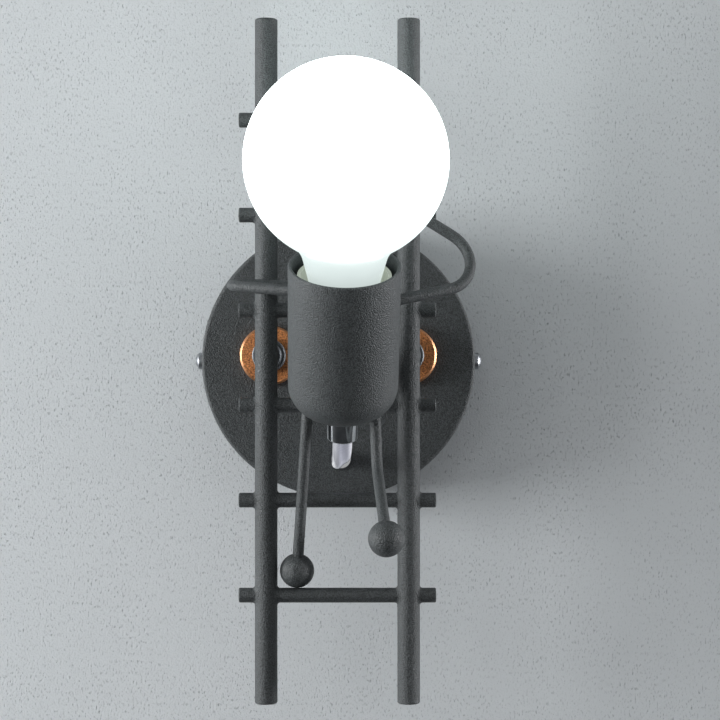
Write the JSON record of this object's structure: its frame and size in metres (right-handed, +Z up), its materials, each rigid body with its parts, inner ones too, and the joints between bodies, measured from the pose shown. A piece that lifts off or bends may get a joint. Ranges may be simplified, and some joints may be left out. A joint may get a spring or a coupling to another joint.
{
  "type": "wall sconce",
  "caption": "Wall sconce: a lamp-cup figure with an opal globe bulb for its head climbs a small metal ladder that stands off a round canopy.",
  "frame": {"origin": "middle of the two wall screw slots, on the wall plane at the canopy's centre", "axes": "+Y into the wall, +Z up along the ladder, +X to the right as seen from the room"},
  "size_m": [0.1274, 0.1672, 0.288],
  "materials": {
    "powder_coat": "dark charcoal powder coat, fine texture",
    "zinc_steel": "zinc plated steel",
    "turned_steel": "turned bright steel",
    "chrome": "polished chrome",
    "copper_lacquer": "speckled copper brown lacquer, bright bevel",
    "brass": "bare brass",
    "holder_plastic": "cream thermoplastic",
    "rubber": "black rubber",
    "clear_vinyl": "clear vinyl over silvery cores",
    "core_insulation": "silver grey insulation",
    "opal_glass": "opal white glass, lit",
    "cap_aluminium": "rolled screw cap",
    "black_insulator": "black glass insulator",
    "board_white": "white board and driver housing"
  },
  "bodies": {
    "sconce": {"rail_left": "powder_coat", "rail_right": "powder_coat", "rung_1": "powder_coat", "rung_2": "powder_coat", "rung_3": "powder_coat", "rung_4": "powder_coat", "rung_5": "powder_coat", "rung_6": "powder_coat", "standoff_post_left": "powder_coat", "standoff_post_right": "powder_coat", "standoff_hub_left": "turned_steel", "standoff_hub_right": "turned_steel", "copper_ring_left": "copper_lacquer", "copper_ring_right": "copper_lacquer", "standoff_washers": "zinc_steel", "standoff_nuts": "zinc_steel", "canopy_shell": "powder_coat", "canopy_grommet": "rubber", "canopy_side_screws": "chrome", "wall_bracket": "zinc_steel", "terminal_block": "holder_plastic", "terminal_clamps": "brass", "terminal_screws": "zinc_steel", "block_screw": "zinc_steel", "earth_screw": "brass", "earth_washer": "brass", "lamp_cup": "powder_coat", "arm_left": "powder_coat", "arm_right": "powder_coat", "leg_left": "powder_coat", "leg_right": "powder_coat", "foot_left": "powder_coat", "foot_right": "powder_coat", "cord_grip": "chrome", "grip_screw": "holder_plastic", "locknut": "zinc_steel", "holder_cap": "holder_plastic", "holder_skirt": "holder_plastic", "holder_insert": "holder_plastic", "screw_shell": "brass", "centre_contact": "brass", "holder_terminal_screws": "zinc_steel", "flex_cord": "clear_vinyl", "flex_cores_canopy": "core_insulation", "flex_cores_holder": "core_insulation"},
    "bulb": {"bulb_globe": "opal_glass", "bulb_cap": "cap_aluminium", "bulb_insulator": "black_insulator", "bulb_contact": "brass", "led_board": "board_white", "led_driver": "board_white"}
  },
  "joints": [
    {"name": "bulb_unscrew", "type": "slide", "parent": "sconce", "child": "bulb", "axis": [0.0156, -0.454, 0.8909], "range_m": [0, 0.045]}
  ]
}
